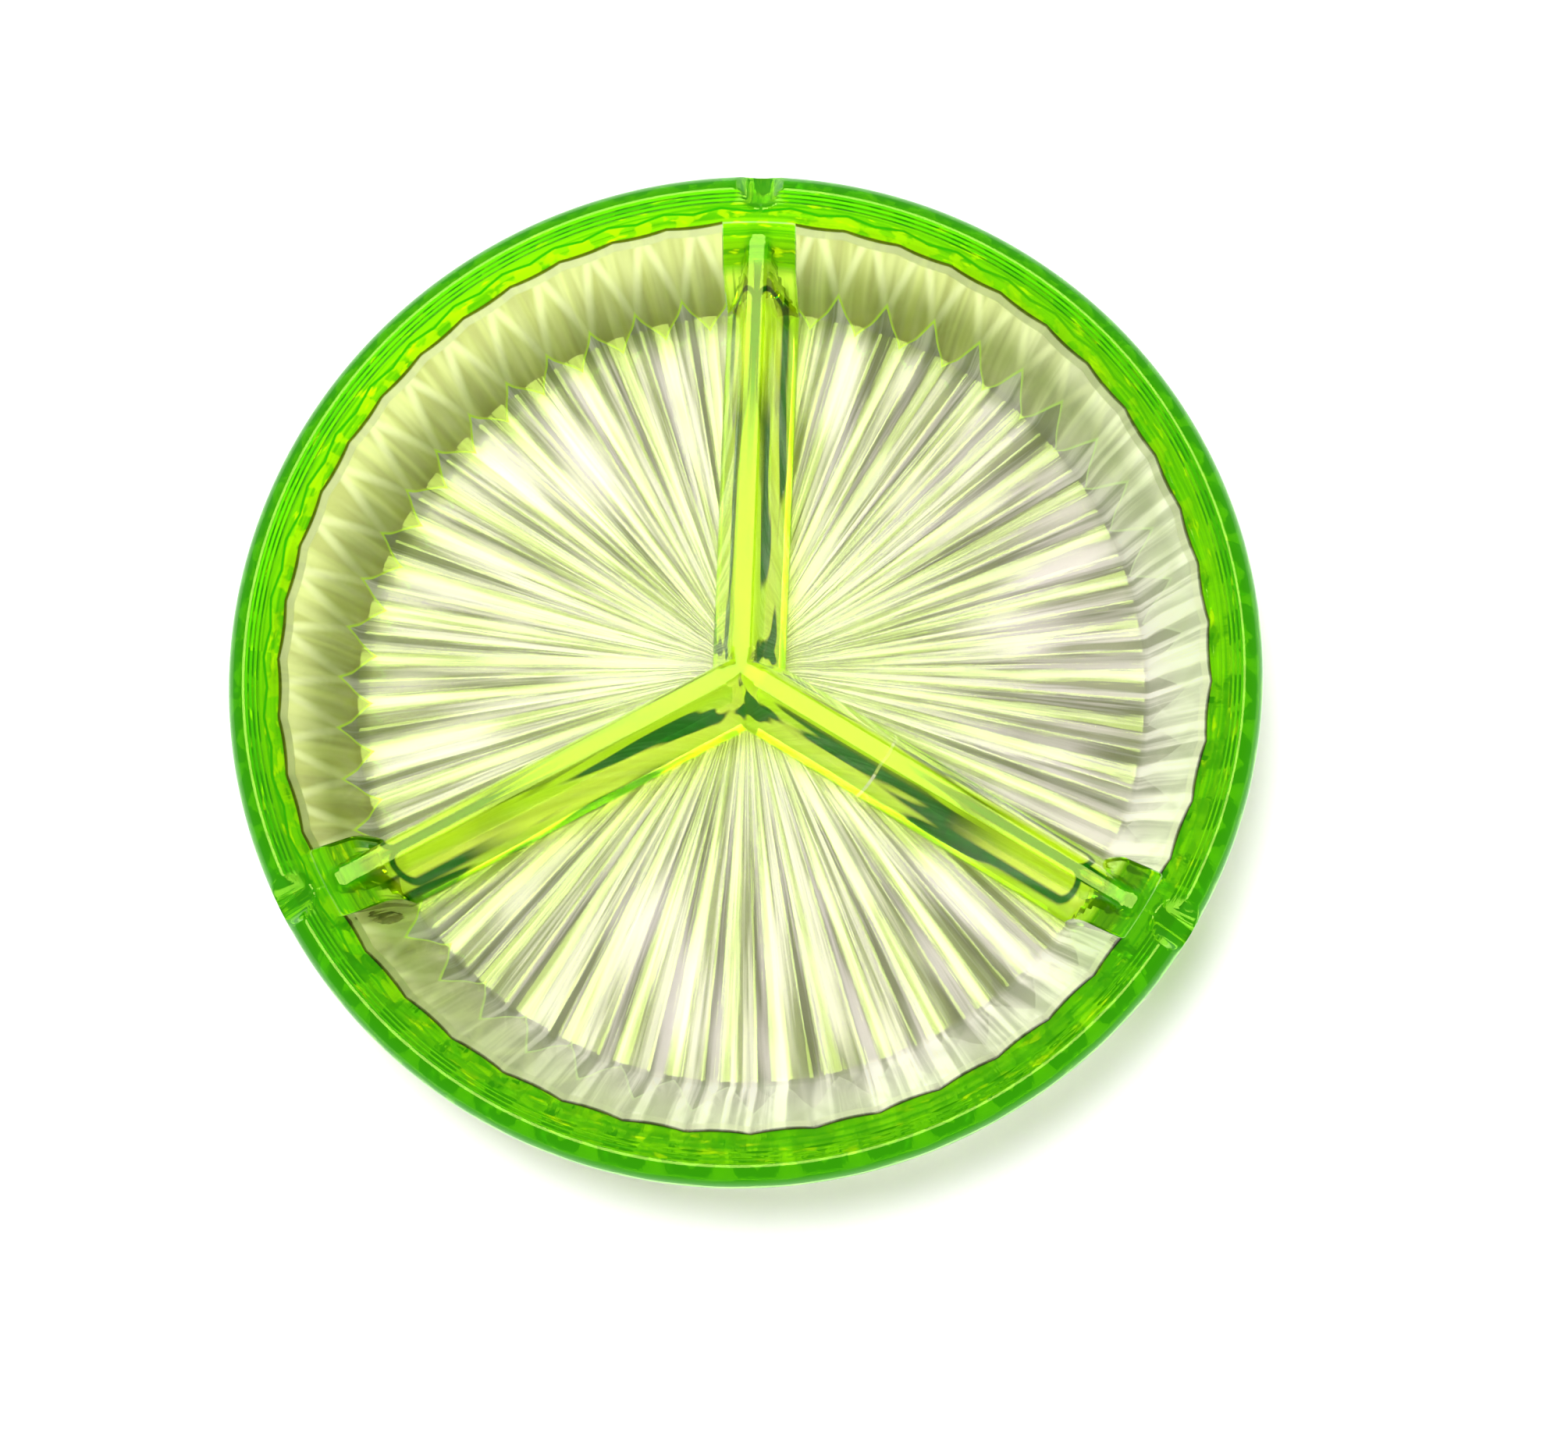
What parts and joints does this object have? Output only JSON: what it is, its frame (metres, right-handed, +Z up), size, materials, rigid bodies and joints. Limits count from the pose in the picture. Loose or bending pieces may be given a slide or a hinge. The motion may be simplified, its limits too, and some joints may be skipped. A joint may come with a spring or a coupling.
{
  "type": "divided glass dish",
  "caption": "Round pressed-glass relish dish in vivid green uranium glass, with ribbed compartments, rounded dividers and a ridged, notched rim.",
  "frame": {"origin": "centre of the underside, on the surface that the dish stands on", "axes": "+Z up along the dish's axis, +Y along one divider, +X to the right"},
  "size_m": [0.165, 0.165, 0.026],
  "materials": {
    "floor_glass": "clear pressed glass, pale green where it is thin",
    "wall_glass": "clear pressed glass, olive green",
    "rim_glass": "clear pressed glass, vivid yellow-green where it is thick",
    "divider_glass": "clear pressed glass, yellow-green with dark green reflections"
  },
  "bodies": {
    "root": {"base": "floor_glass", "wall_left": "wall_glass", "wall_front": "wall_glass", "wall_right": "wall_glass", "rim": "rim_glass", "hub": "divider_glass", "divider_back": "divider_glass", "divider_front_left": "divider_glass", "divider_front_right": "divider_glass"}
  },
  "joints": []
}
